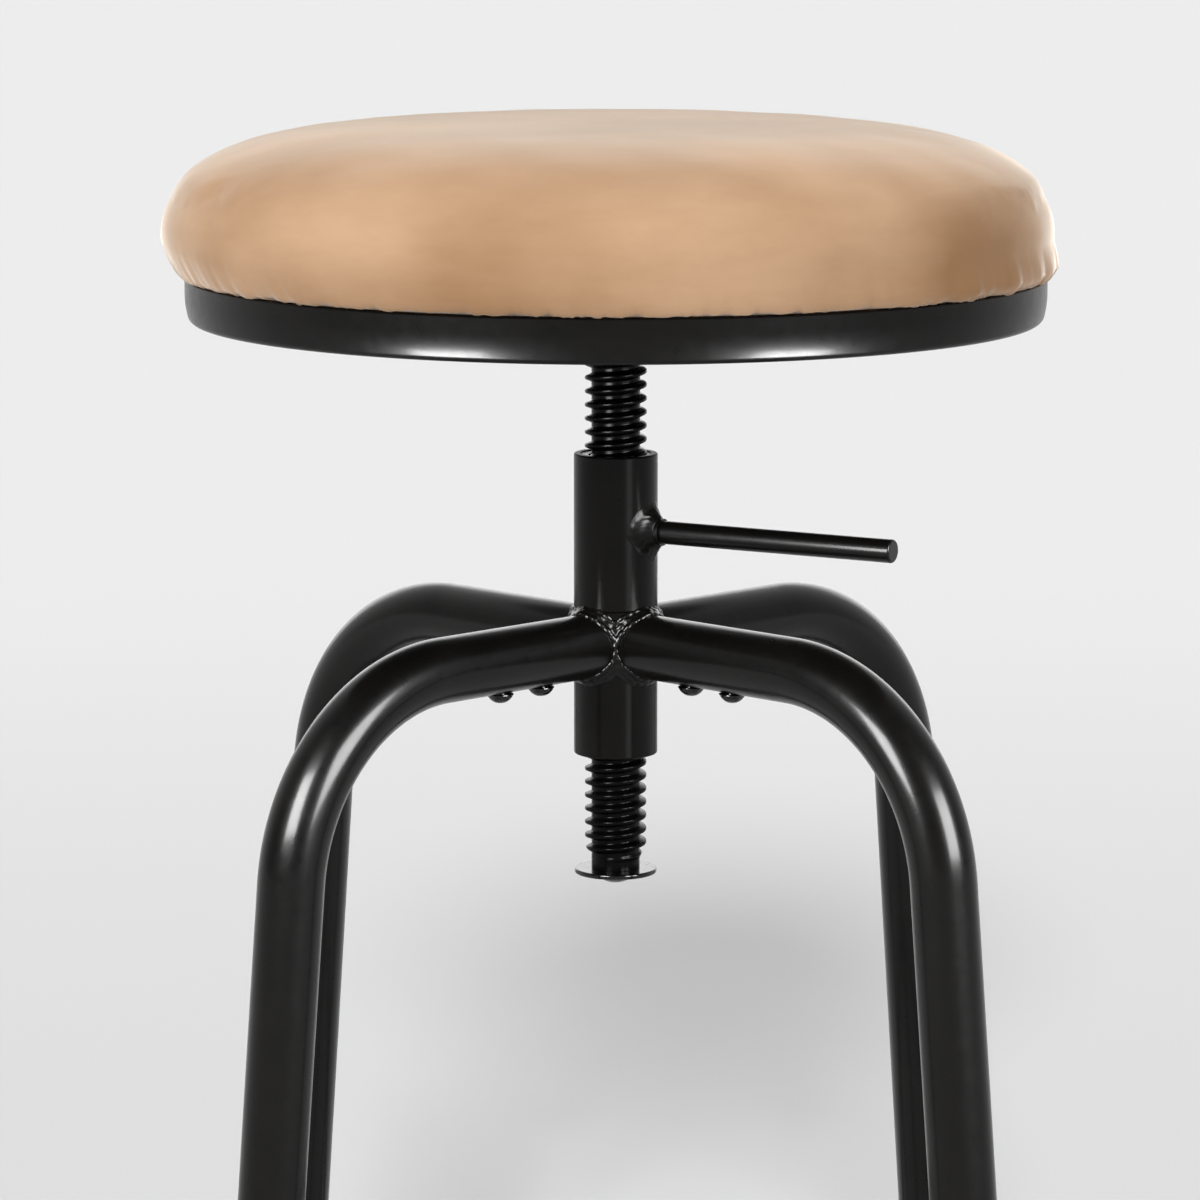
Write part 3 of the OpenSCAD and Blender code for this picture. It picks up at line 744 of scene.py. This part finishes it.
# The foot rest is one ring of thinner tube, held against the inner faces of
# the legs by a bolt and a cap nut at each.
ring_tube_r = 8.0
ring_h = 170.0
ring_fit = 0.05
ring_out = (bend_end_out + (bend_end_h - ring_h) * math.tan(splay)
    - (leg_r + ring_tube_r + ring_fit) / math.cos(splay))
ring_spots = []
add_ring(ring_spots, ring_out, ring_h, 192)
foot_ring = add_mesh("foot_rest_ring", ring_spots, [],
    [(k, (k + 1) % len(ring_spots)) for k in range(len(ring_spots))])
run_tree(foot_ring, bent_tube, {"Radius": ring_tube_r * mm, "Sides": 48, "Finish": paint})
face_outwards(foot_ring)
foot_ring.data.shade_smooth()
own_piece(foot_ring, "frame", "black_paint", paint, "foot_ring")
ring_bolt = screw_mesh("ring_bolt", shank_r, 2 * (leg_r + ring_tube_r) + 5, head_r, head_h, socket_r,
    socket_depth)
nut_flat = 5.0
nut_r = 5.3
cap_nut = turn_outline("cap_nut", [(0, -9.2), (2.2, -8.9), (3.6, -7.9), (4.5, -6.2), (4.7, -5),
    (nut_r, -4.6), (nut_r, -0.4), (4.9, 0), (0, 0)], 48)
for vertex in cap_nut.data.vertices:
    around = math.hypot(vertex.co.x, vertex.co.y) / mm
    if around > nut_r - 0.1:
        within = (math.atan2(vertex.co.y, vertex.co.x) % (math.pi / 3)) - math.pi / 6
        reach = nut_flat / math.cos(within) / around
        vertex.co.x *= reach
        vertex.co.y *= reach
bolt_places = []
nut_places = []
for turned in corners.values():
    at_leg = Matrix.Rotation(math.radians(turned), 3, "Z")
    outwards = at_leg @ Vector((math.cos(splay), 0, math.sin(splay)))
    ring_spot = at_leg @ Vector((ring_out, 0, ring_h))
    bolt_places.append((ring_spot + outwards * (ring_tube_r + 2 * leg_r + ring_fit), -outwards))
    nut_places.append((ring_spot - outwards * (ring_tube_r + 2 * ring_fit), outwards))
ring_bolts = add_row("ring_button_bolts", ring_bolt, bolt_places, bright_steel)
own_piece(ring_bolts, "frame", "black_steel", bright_steel, "ring_bolts")
ring_nuts = add_row("ring_cap_nuts", cap_nut, nut_places, bright_steel)
round_shading(ring_nuts, 35)
own_piece(ring_nuts, "frame", "black_steel", bright_steel, "ring_nuts")

# The lock lever is a straight painted rod, screwed through a welded boss into
# the hub, with a reduced end that carries the pad.
lever_r = 4.7
lever_reach = 125.0
boss_r = 5.5
boss_reach = hub_r + 5.0
lever_shoulder = boss_reach + 0.6
pad_back = hub_r - 0.6
lever_tip = pad_back + 0.2
pivot_r = 1.5
pivot_len = 1.3
lever = turn_outline("lock_lever_rod", [(0, lever_tip - pivot_len), (pivot_r, lever_tip - pivot_len),
    (pivot_r, lever_tip), (lever_thread_r - 0.4, lever_tip), (lever_thread_r, lever_tip + 0.4),
    (lever_thread_r, lever_shoulder)] + round_corner(lever_r - 0.5, lever_shoulder + 0.5, 0.5, -90, 0)
    + round_corner(lever_r - 0.9, lever_reach - 0.9, 0.9, 0, 90, 8) + [(0, lever_reach)], 96)
lever.data.transform(to_lever)
own_piece(lever, "lock_lever", "black_paint", paint, "lock_lever")
finish_node("lever_boss", paint)

# The boss has a hand-laid fillet weld round it, wide on the hub's side and
# rising in ripples to the lever.
weld_spread = 6.4
weld_climb = 4.14
fillet_rows = 26
fillet_steps = 144


def fillet_spot(share, angle):
    """A point on the boss's weld: share runs from the boss to the hub, angle goes round the lever."""
    lobes = 1 + 0.10 * math.sin(3 * angle + 0.6) + 0.05 * math.sin(7 * angle)
    out = boss_r + weld_spread * lobes * share
    side = out * math.sin(angle)
    on_hub = math.sqrt(hub_r ** 2 - min(abs(side), hub_r - 0.3) ** 2)
    rise = weld_climb * (1 - share) ** 1.7
    middle = math.sin(math.pi * share)
    ripples = 0.07 * middle * math.sin(19 * angle + 2.5 * math.sin(2.2 * math.pi * share))
    laps = 0.09 * middle * math.cos(4 * math.pi * share)
    sunk = 0.35 if share == 1 else 0
    return out * math.cos(angle), side, on_hub + rise + ripples + laps - sunk


points, rings = [], []
for row in range(fillet_rows + 1):
    rings.append(range(len(points), len(points) + fillet_steps))
    for k in range(fillet_steps):
        points.append(fillet_spot(row / fillet_rows, 2 * math.pi * k / fillet_steps))
rings.append(add_ring(points, boss_r, hub_r - 3, fillet_steps))
boss_weld = add_mesh("lever_boss_weld", points, join_rings(rings + rings[:1]))
boss_weld.data.transform(to_lever)
face_outwards(boss_weld)
boss_weld.data.shade_smooth()
own_piece(boss_weld, "frame", "black_paint", thin_paint, "boss_weld")

# A turned brass pad on the lever's tip presses on the thread, and a nylon bush
# guides the spindle in the hub's foot.
brass = plain_finish("brass", 260, (0.50, 0.32, 0.10), (0.58, 0.40, 0.15), 900, 0.25, 0.42, 1.0)
finish_node("lock_pad", brass)
nylon = plain_finish("nylon", 60, (0.60, 0.57, 0.48), (0.66, 0.63, 0.55), 400, 0.38, 0.5, detail=2)
finish_node("guide_bush", nylon)

# The spindle has a rolled right-hand thread with rounded crests. It ends in a
# short plain neck above the stop washer.
thread_crest = 12.5
thread_root = 9.8
pitch = 5.5
spindle_foot = 377.0
plate_z = 597.5
crest_height = 547.25
crest_flat = 0.35
groove_flat = 0.75
thread_steps = 72
profile_count = 16
neck = 3.2
run_out = 7.0


def thread_radius(across, height):
    """Radius of the thread at a distance across from its crest, run out towards the neck."""
    slope = pitch / 2 - crest_flat - groove_flat
    share = min(max((abs(across) - crest_flat) / slope, 0), 1)
    ridge = 0.5 + 0.5 * math.cos(math.pi * share ** 1.15)
    grown = min(max((height - spindle_foot - neck) / run_out, 0), 1)
    return thread_root + (thread_crest - thread_root) * ridge * (3 - 2 * grown) * grown ** 2


first_turn = math.floor((spindle_foot - crest_height) / pitch) - 1
turn_count = math.ceil((plate_z - spindle_foot) / pitch) + 3
points, faces = [], []
for step in range(turn_count * thread_steps + 1):
    angle = 2 * math.pi * step / thread_steps
    height = crest_height + pitch * (first_turn + step / thread_steps)
    for k in range(profile_count):
        across = pitch * (k / profile_count - 0.5)
        radius = thread_radius(across, height + across)
        points.append((radius * math.cos(angle), radius * math.sin(angle), height + across))
for step in range(turn_count * thread_steps):
    for k in range(profile_count):
        here, there = step * profile_count + k, (step + 1) * profile_count + k
        if k < profile_count - 1:
            faces.append((here, there, there + 1, here + 1))
        elif (step + 1 + thread_steps) * profile_count < len(points):
            above = (step + thread_steps) * profile_count
            faces.append((here, there, above + profile_count, above))
spindle = add_mesh("threaded_spindle", points, faces)
cut_level(spindle, (spindle_foot, -1), (plate_z - 0.02, 1))
round_shading(spindle, 60)
own_piece(spindle, "seat", "black_steel", steel, "lead_screw")

# A thick loose washer and the low domed head of its bolt close the spindle and
# keep the seat from winding out of the hub.
washer_r = 16.7
washer_t = 2.0
washer_top = spindle_foot - 0.1
stop_shank_r = 4.0
stop_head_r = 9.0
stop_head_h = 4.2
stop_socket_r = 5 / 2 / math.cos(math.radians(30))
stop_length = 18.0
washer = turn_outline("spindle_stop_washer", [(stop_shank_r + 0.2, washer_top - washer_t)]
    + round_corner(washer_r - 0.7, washer_top - washer_t + 0.7, 0.7, -90, 0)
    + round_corner(washer_r - 0.7, washer_top - 0.7, 0.7, 0, 90) + [(stop_shank_r + 0.2, washer_top)], 128)
own_piece(washer, "stop_washer", "black_steel", bright_steel, "stop_washer")
stop_bolt = screw_mesh("spindle_stop_bolt", stop_shank_r, stop_length + washer_t, stop_head_r, stop_head_h,
    stop_socket_r, socket_depth)
stop_bolt.data.transform(Matrix.Translation((0, 0, (washer_top - washer_t - 0.02) * mm)))
own_piece(stop_bolt, "seat", "black_steel", bright_steel, "stop_bolt")

# The round plate that carries the seat is welded on the spindle's top and held
# by four button screws in tee nuts.
finish_node("mount_plate", paint)
finish_node("plate_weld", paint)
plate_screw_out = 42.0
plate_screw_length = 17.7
plate_screw = screw_mesh("plate_screw", shank_r, plate_screw_length, head_r, head_h, socket_r, socket_depth)
spots = []
add_ring(spots, plate_screw_out, plate_z, 4)
places = [(spot, (0, 0, 1)) for spot in spots]
plate_screws = add_row("plate_button_screws", plate_screw, places, bright_steel)
own_piece(plate_screws, "seat", "black_steel", bright_steel, "plate_bolts")

# The pan is a shallow dish pressed from sheet steel, with a plain upright wall,
# a rounded lower edge and a rounded rim. Two low lamps draw its highlights.
pan_r = 172.0
pan_sheet = 1.5
pan_edge = 3.0
pan_z = 601.5
rim_z = 619.0
rim_round = 0.6
press_draw = 1.8
press_height = 11.0
press_tilt = 14
inside = pan_r - pan_sheet


def pan_wall(rise):
    """Outside radius of the pan's wall, drawn in a little towards its lower edge."""
    return pan_r - press_draw * (1 - min(rise / press_height, 1)) ** 2


edge_rise = pan_edge * (1 - math.sin(math.radians(press_tilt)))
edge_r = pan_wall(edge_rise) - pan_edge * math.cos(math.radians(press_tilt))
wall_rises = [edge_rise + (press_height - edge_rise) * k / 12 for k in range(1, 13)]
pan = turn_outline("seat_pan_dish", [(0, pan_z)]
    + round_corner(edge_r, pan_z + pan_edge, pan_edge, -90, -press_tilt, 12)
    + [(pan_wall(rise), pan_z + rise) for rise in wall_rises]
    + round_corner(pan_r - rim_round, rim_z - rim_round, rim_round, 0, 90)
    + round_corner(inside + rim_round, rim_z - rim_round, rim_round, 90, 180)
    + [(pan_wall(rise) - pan_sheet, pan_z + rise) for rise in reversed(wall_rises)]
    + round_corner(edge_r, pan_z + pan_edge, pan_edge - pan_sheet, -press_tilt, -90, 8)
    + [(0, pan_z + pan_sheet)], 256)
own_piece(pan, "seat", "black_paint", thin_paint, "seat_pan")
hide_from_softboxes(pan)
for side, turn in (("left", -44), ("right", 46)):
    light_only(add_softbox("low_" + side, turn, -27, 0.97, 0.32, 0.32, 50), pan)

# A plywood board carries the cushion, with zinc-plated tee nuts let into its
# top and a ring of staples that hold the cover's hem under it.
plywood, tree, shader, place = new_material("plywood")
along_grain = add_node(tree, "ShaderNodeMapping", {"Vector": place, "Scale": (4, 60, 900)})
fill(tree, shader, {
    "Base Color": blend_colours(tree, add_noise(tree, along_grain, 1.0, 4), (0.36, 0.20, 0.09),
        (0.55, 0.36, 0.19), 0.3, 0.7),
    "Roughness": 0.7,
})
finish_node("seat_board", plywood)
zinc = plain_finish("zinc", 300, (0.42, 0.42, 0.40), (0.55, 0.55, 0.52), 700, 0.28, 0.45, 1.0)
finish_node("tee_nuts", zinc)
finish_node("cover_staples", zinc)

# The cushion is a block of foam under a tan suede-like cover, pulled down
# round the board and stapled under it. It swells a little past the pan's wall.
board_top = 616.4
board_r = 163.5
hem_z = 603.1
hem_w = 24.0
cover_t = 1.2
under_z = 619.3
waist_z = 637.3
waist_rise = 18.0
crown_rise = 41.3
swell = 6.5
fullness = 5.1
lean = -3.2
freed_start = 4.0
freed_rise = 10.0
foam_inset = 5.5


def cushion_outline(inset, count=48):
    """Outline of the cushion's swell and crown, drawn in by inset, from its underside to its top."""
    outline = []
    for k in range(12):
        angle = math.radians(-90 + 90 * k / 12)
        outline.append((pan_r - inset + swell * math.cos(angle),
            waist_z + (waist_rise - inset) * math.sin(angle)))
    for k in range(count):
        angle = math.pi / 2 * (k / count) ** 0.8
        outline.append(((pan_r + swell - inset) * math.cos(angle) ** (2 / fullness),
            waist_z + (crown_rise - inset) * math.sin(angle)))
    outline.append((0, waist_z + crown_rise - inset))
    return outline


def freed_share(height):
    """How far the cushion is free of the rim at a height, from 0 to 1, and so leans to one side."""
    return min(max((height - under_z - freed_start) / freed_rise, 0), 1)


foam_colour, tree, shader, place = new_material("foam")
fill(tree, shader, {
    "Base Color": blend_colours(tree, add_noise(tree, place, 900), (0.72, 0.60, 0.32), (0.80, 0.69, 0.41)),
    "Roughness": 0.95,
    "Normal": add_bump(tree, add_noise(tree, place, 1800), 0.0003, 0.8),
})
foam = turn_outline("seat_foam_block", [(0, board_top + 0.1), (board_r - 0.1, board_top + 0.1),
    (board_r - 0.1, under_z + 3)] + cushion_outline(foam_inset), 128)
for vertex in foam.data.vertices:
    vertex.co.x += lean * freed_share(vertex.co.z / mm) * mm
own_piece(foam, "seat", "foam", foam_colour, "seat_foam")

# The suede's nap gives it soft clouds and strokes. Painted shade darkens a patch
# on the right and a faint one on the left, a faint painted highlight lightens
# another on the left, and painted shade darkens its lower edge above the rim.
# Painted shade on the right, a faint painted highlight lower on the left and faint painted shade above it,
# as centre, reach and amount.
painted_light_patches = (((142, -112, 630), (74, 66, 32), -0.52), ((-98, -150, 648), (60, 50, 22), 0.07),
    ((-150, -95, 664), (50, 60, 16), -0.10))
painted_shade_rise = 17.0


def painted_patch(tree, place, centre, reach, amount):
    """A soft patch of painted shade, or of painted highlight where the amount is above zero, with its
    centre and reach in millimetres.
    """
    spot = add_node(tree, "ShaderNodeMapping", {"Vector": place, "Scale": [1 / (r * mm) for r in reach],
        "Location": [-c / r for c, r in zip(centre, reach)]})
    ball = add_node(tree, "ShaderNodeTexGradient", {"Vector": spot}, "Fac", gradient_type="SPHERICAL")
    return combine(tree, "MULTIPLY", ball, amount)


suede, tree, shader, place = new_material("suede")
along_strokes = add_node(tree, "ShaderNodeMapping", {"Vector": place, "Scale": (1, 1, 3)})
strokes = map_range(tree, add_noise(tree, along_strokes, 34, 4, 0.6), 0.25, 0.75, -0.06, 0.06)
nap_and_painted_shade = combine(tree, "ADD", add_noise(tree, place, 11, 2, 0.45), strokes)
for centre, reach, amount in painted_light_patches:
    nap_and_painted_shade = combine(tree, "ADD", nap_and_painted_shade, painted_patch(tree, place, centre, reach, amount))
height = add_node(tree, "ShaderNodeSeparateXYZ", {0: place}, "Z")
# Painted shade: the cover is darker towards its lower edge above the rim.
painted_low_shade = map_range(tree, height, under_z * mm, (under_z + painted_shade_rise) * mm, -0.08, 0.0)
nap_and_painted_shade = combine(tree, "ADD", nap_and_painted_shade, painted_low_shade)
fibre = add_bump(tree, add_noise(tree, place, 1400), 0.0002, 0.3)
fill(tree, shader, {
    "Base Color": blend_colours(tree, nap_and_painted_shade, (0.335, 0.184, 0.090), (0.575, 0.367, 0.225), 0.16, 0.72),
    "Roughness": 0.85,
    "Specular IOR Level": 0.1,
    "Sheen Weight": 1.0,
    "Sheen Roughness": 0.3,
    "Sheen Tint": (1.0, 0.93, 0.84, 1),
    "Normal": add_bump(tree, add_noise(tree, place, 120), 0.0004, 0.2, fibre),
})

# The cover's swelling is simulated: an even ball of cloth in the cushion's shape,
# held where it meets the rim, is filled with air for a few frames.
voxel = 5.0
air_pressure = 4.0
settle_frames = 20
most_move = 5.0
pinned_rise = 2.5
most_swell = 0.9
reach_in = 12.0
filled_inset = 3.0
dip_depth = 1.1
dip_scale = 0.022
dip_rise = 12.0
filled = turn_outline("filled_cover", [(0, under_z)] + cushion_outline(filled_inset), 160)
remesh = filled.modifiers.new("even", "REMESH")
remesh.mode = "VOXEL"
remesh.voxel_size = voxel * mm
settle(filled)
for vertex in filled.data.vertices:
    dip = noise.noise(vertex.co / mm * dip_scale) * dip_depth
    vertex.co += vertex.normal * dip * mm * min(max((vertex.co.z / mm - under_z) / dip_rise, 0), 1)
start_spots = [vertex.co.copy() for vertex in filled.data.vertices]
pins = filled.vertex_groups.new(name="pins")
held = [vertex.index for vertex in filled.data.vertices if vertex.co.z < (under_z + pinned_rise) * mm]
pins.add(held, 1.0, "REPLACE")
cloth = filled.modifiers.new("cloth", "CLOTH")
cloth.settings.quality = 6
cloth.settings.mass = 0.3
cloth.settings.tension_stiffness = 25
cloth.settings.compression_stiffness = 25
cloth.settings.shear_stiffness = 12
cloth.settings.bending_stiffness = 1.5
cloth.settings.use_pressure = True
cloth.settings.uniform_pressure_force = air_pressure
cloth.settings.vertex_group_mass = "pins"
cloth.settings.effector_weights.gravity = 0
cloth.point_cache.frame_start = 1
cloth.point_cache.frame_end = settle_frames
scene = bpy.context.scene
for step in range(1, settle_frames + 1):
    scene.frame_set(step)
settle(filled)
scene.frame_set(1)
for vertex, spot in zip(filled.data.vertices, start_spots):
    moved = vertex.co - spot
    if moved.length > most_move * mm:
        vertex.co = spot + moved.normalized() * most_move * mm
even_out = filled.modifiers.new("even_out", "SMOOTH")
even_out.factor = 0.5
even_out.iterations = 8
settle(filled)
filled_surface = BVHTree.FromPolygons([vertex.co.copy() for vertex in filled.data.vertices],
    [tuple(face.vertices) for face in filled.data.polygons])
bpy.data.objects.remove(filled)

# The cover itself is one sheet: a hem under the board, up the board's edge, out
# over the pan's rim, and over the foam in the swelling that the air gave it.
around_count = 640
tuck = 165.6
stroke_scale = 0.035
stroke_depth = 0.5


def cover_sheet():
    """The cover's outside from its hem to its middle, as (radius, height)."""
    sheet = [(board_r - hem_w, hem_z)]
    sheet += round_corner(board_r + 0.1 + cover_t - 0.6, hem_z + 0.6, 0.6, -90, 0, 4)
    sheet += [(board_r + 0.1 + cover_t, hem_z + 7), (board_r + 0.1 + cover_t, under_z - 2.0),
        (tuck, under_z - 0.3), (tuck + 2.2, under_z + 0.2), (tuck + 4.6, under_z + 0.15)]
    return sheet + cushion_outline(0, 52)


def pulled_by_staples(angle, height):
    """How far the sheet's lower edge lifts and puckers round the rim, in millimetres."""
    spot = Vector((math.cos(angle), math.sin(angle), 0))
    strength = 0.6 + 0.4 * min(max(noise.noise(spot * 2.1 + Vector((4, 0, 2))) + 0.35, 0), 1)
    pleat = noise.noise(spot * 15 + Vector((3, 1, 4))) + 0.6 * noise.noise(spot * 34 + Vector((1, 8, 2)))
    near = math.exp(-((height - under_z - 3.5) / 8) ** 2)
    lift = (max(noise.noise(spot * 38 + Vector((9, 3, 1))), 0) * 1.6 + max(noise.noise(spot * 5), 0) * 0.8
        + max(noise.noise(spot * 85 + Vector((2, 5, 6))), 0) * 1.2)
    return pleat * strength * near * 1.15, lift * math.exp(-((height - under_z) / 3) ** 2)


points = []
rings = [add_ring(points, radius, height, around_count) for radius, height in cover_sheet()]
cover = add_mesh("cushion_cover", points, join_rings(rings))
shown = [vertex for vertex in cover.data.vertices if vertex.co.z > (under_z - 0.01) * mm
    and vertex.co.xy.length > 0 and (vertex.co.z > waist_z * mm or vertex.co.xy.length > (pan_r - 1) * mm)]
normals = {vertex.index: vertex.normal.copy() for vertex in shown}
swells = {}
for vertex in shown:
    normal = normals[vertex.index]
    hit = filled_surface.ray_cast(vertex.co - normal * reach_in * mm, normal, 2 * reach_in * mm)
    if hit[0] is not None:
        swells[vertex.index] = hit[3] / mm - reach_in
middle_swell = sum(swells.values()) / len(swells)
for vertex in shown:
    normal = normals[vertex.index]
    height = vertex.co.z / mm
    freed = freed_share(height)
    blown = swells.get(vertex.index, middle_swell) - middle_swell
    own_swell = min(max(blown, -most_swell), most_swell) * freed
    pleat, lift = pulled_by_staples(math.atan2(vertex.co.y, vertex.co.x), height)
    stroke = noise.noise(vertex.co / mm * stroke_scale + Vector((7, 2, 5))) * stroke_depth * freed
    vertex.co += normal * (own_swell + pleat + stroke) * mm
    vertex.co.z += lift * mm
    vertex.co.x += lean * freed * mm
add_wall(cover, cover_t)
cover.data.shade_smooth()
own_piece(cover, "seat", "suede", suede, "seat_cover")
hide_from_softboxes(cover)

size = {"cad": [list(corner) for corner in cad_box], "visual": [list(corner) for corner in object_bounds()]}
